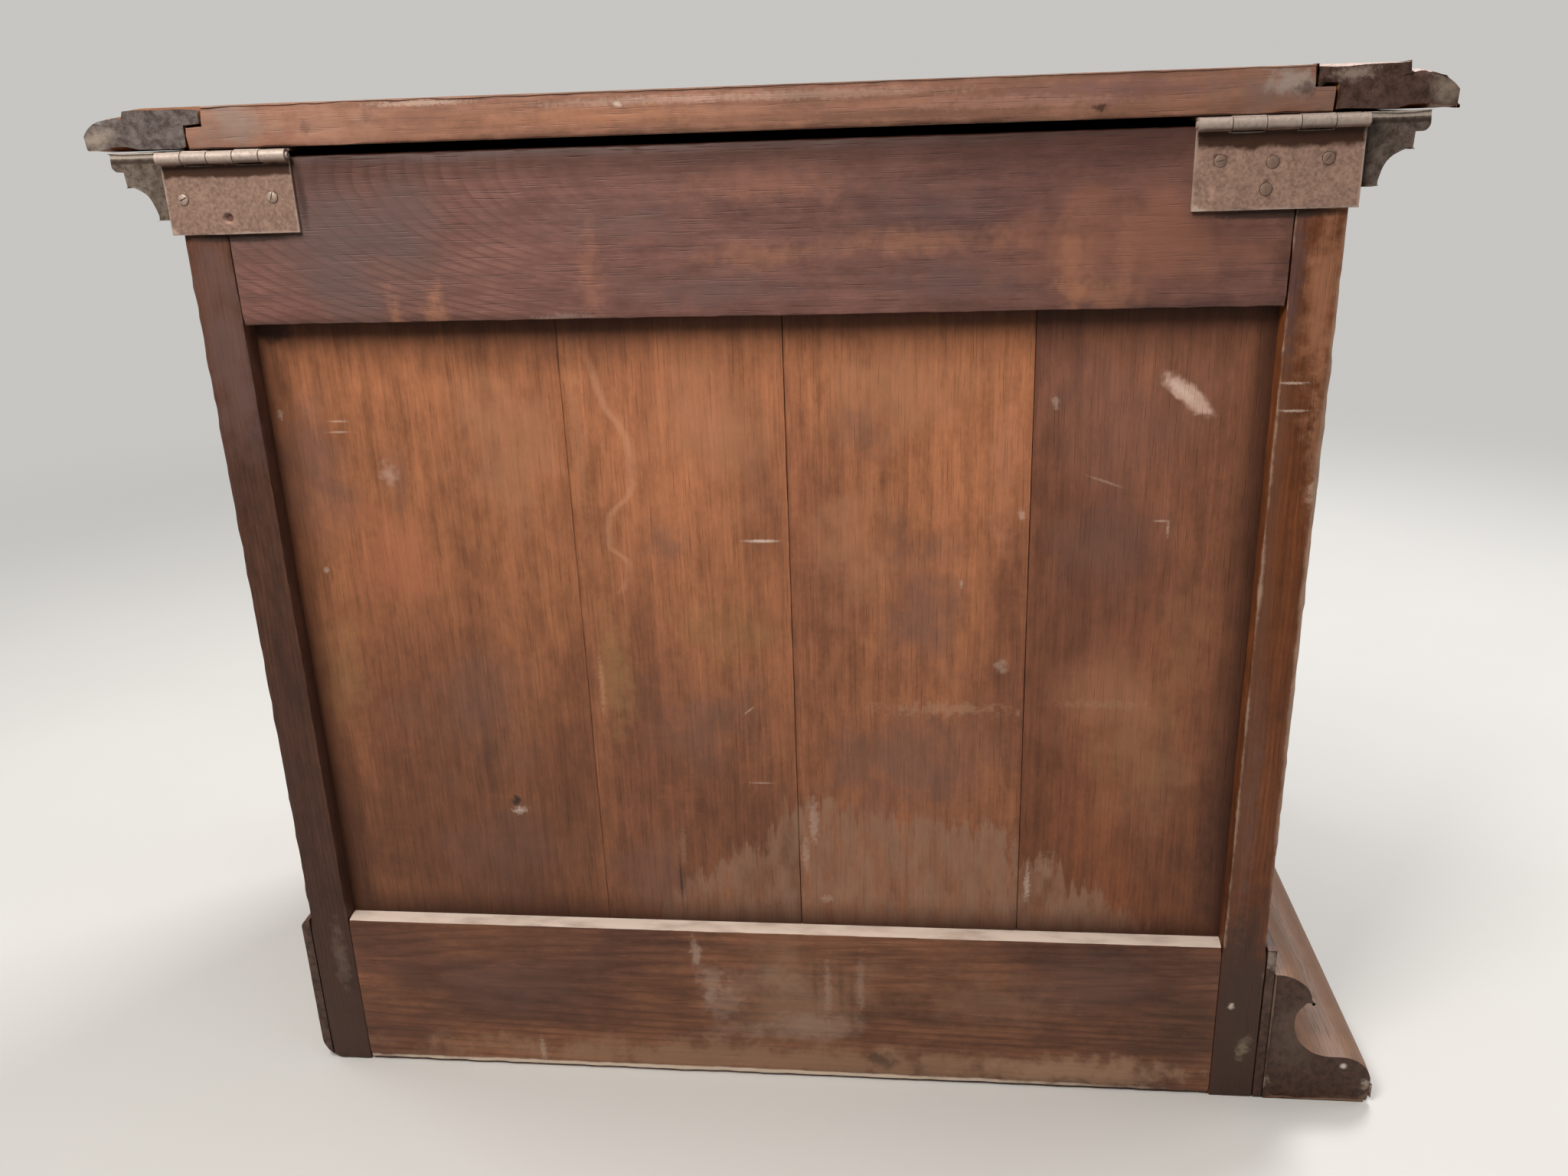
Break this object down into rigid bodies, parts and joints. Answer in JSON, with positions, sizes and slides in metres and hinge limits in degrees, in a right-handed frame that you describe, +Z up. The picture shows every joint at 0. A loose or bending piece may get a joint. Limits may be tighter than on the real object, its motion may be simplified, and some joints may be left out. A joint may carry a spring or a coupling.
{
  "type": "mule chest",
  "caption": "Panelled oak mule chest: a hinged moulded lid over a deep well, drawers with turned knobs below, cornice under the lid and a bold plinth.",
  "frame": {"origin": "on the floor, in the middle of the plan", "axes": "+Z up, front facing -Y, +X to the right seen from the front"},
  "size_m": [1.088, 0.5844, 0.884],
  "materials": {
    "frame_oak": "aged oak frame, dry and slightly grey on the back",
    "back_board_oak": "aged quarter-sawn oak boards, orange brown",
    "panel_oak": "waxed oak fielded panels",
    "inner_oak": "unfinished dry oak inside",
    "moulding_oak": "waxed oak moulding",
    "plinth_oak": "dark waxed oak base moulding",
    "lid_oak": "waxed oak lid with worn arrises",
    "peg_oak": "oak pegs, end grain",
    "drawer_lining": "unfinished pale oak drawer linings",
    "drawer_front_oak": "waxed oak drawer fronts",
    "knob_wood": "turned and waxed knobs",
    "hinge_iron": "old iron butt hinges, tan with rust",
    "screw_iron": "dark iron slotted screws"
  },
  "bodies": {
    "case": {"front_post_left": "frame_oak", "front_post_right": "frame_oak", "back_post_left": "frame_oak", "back_post_right": "frame_oak", "back_top_rail": "frame_oak", "back_bottom_rail": "frame_oak", "front_top_rail": "frame_oak", "front_drawer_rail": "frame_oak", "front_bottom_rail": "frame_oak", "front_muntin": "frame_oak", "drawer_divider": "frame_oak", "side_top_rail_left": "frame_oak", "side_top_rail_right": "frame_oak", "side_bottom_rail_left": "frame_oak", "side_bottom_rail_right": "frame_oak", "back_board_1": "back_board_oak", "back_board_2": "back_board_oak", "back_board_3": "back_board_oak", "back_board_4": "back_board_oak", "front_panel_left": "panel_oak", "front_panel_right": "panel_oak", "side_panel_left": "panel_oak", "side_panel_right": "panel_oak", "floor_ledger": "inner_oak", "chest_floor_boards": "inner_oak", "drawer_runner_left": "inner_oak", "drawer_runner_centre": "inner_oak", "drawer_runner_right": "inner_oak", "cornice_front": "moulding_oak", "cornice_left": "moulding_oak", "cornice_right": "moulding_oak", "plinth_ground_front": "plinth_oak", "plinth_ground_left": "plinth_oak", "plinth_ground_right": "plinth_oak", "plinth_moulding_front": "plinth_oak", "plinth_moulding_left": "plinth_oak", "hinge_left_case_leaf": "hinge_iron", "hinge_right_case_leaf": "hinge_iron", "hinge_pins": "hinge_iron", "case_hinge_screws": "screw_iron", "joint_pegs": "peg_oak"},
    "lid": {"lid_board_front": "lid_oak", "lid_board_back": "lid_oak", "lid_cleat_left": "lid_oak", "lid_cleat_right": "lid_oak", "hinge_left_lid_leaf": "hinge_iron", "hinge_right_lid_leaf": "hinge_iron", "lid_hinge_screws": "screw_iron"},
    "drawer_left": {"drawer_left_front": "drawer_front_oak", "drawer_left_side_left": "drawer_lining", "drawer_left_side_right": "drawer_lining", "drawer_left_back": "drawer_lining", "drawer_left_bottom": "drawer_lining", "drawer_left_knobs": "knob_wood"},
    "drawer_right": {"drawer_right_front": "drawer_front_oak", "drawer_right_side_left": "drawer_lining", "drawer_right_side_right": "drawer_lining", "drawer_right_back": "drawer_lining", "drawer_right_bottom": "drawer_lining", "drawer_right_knobs": "knob_wood"}
  },
  "joints": [
    {"name": "lid_hinge", "type": "hinge", "parent": "case", "child": "lid", "pos_m": [0, 0.2872, 0.8466], "axis": [-1, 0, 0], "range_deg": [0, 100]},
    {"name": "drawer_left_slide", "type": "slide", "parent": "case", "child": "drawer_left", "axis": [0, -1, 0], "range_m": [0, 0.3]},
    {"name": "drawer_right_slide", "type": "slide", "parent": "case", "child": "drawer_right", "axis": [0, -1, 0], "range_m": [0, 0.3]}
  ]
}
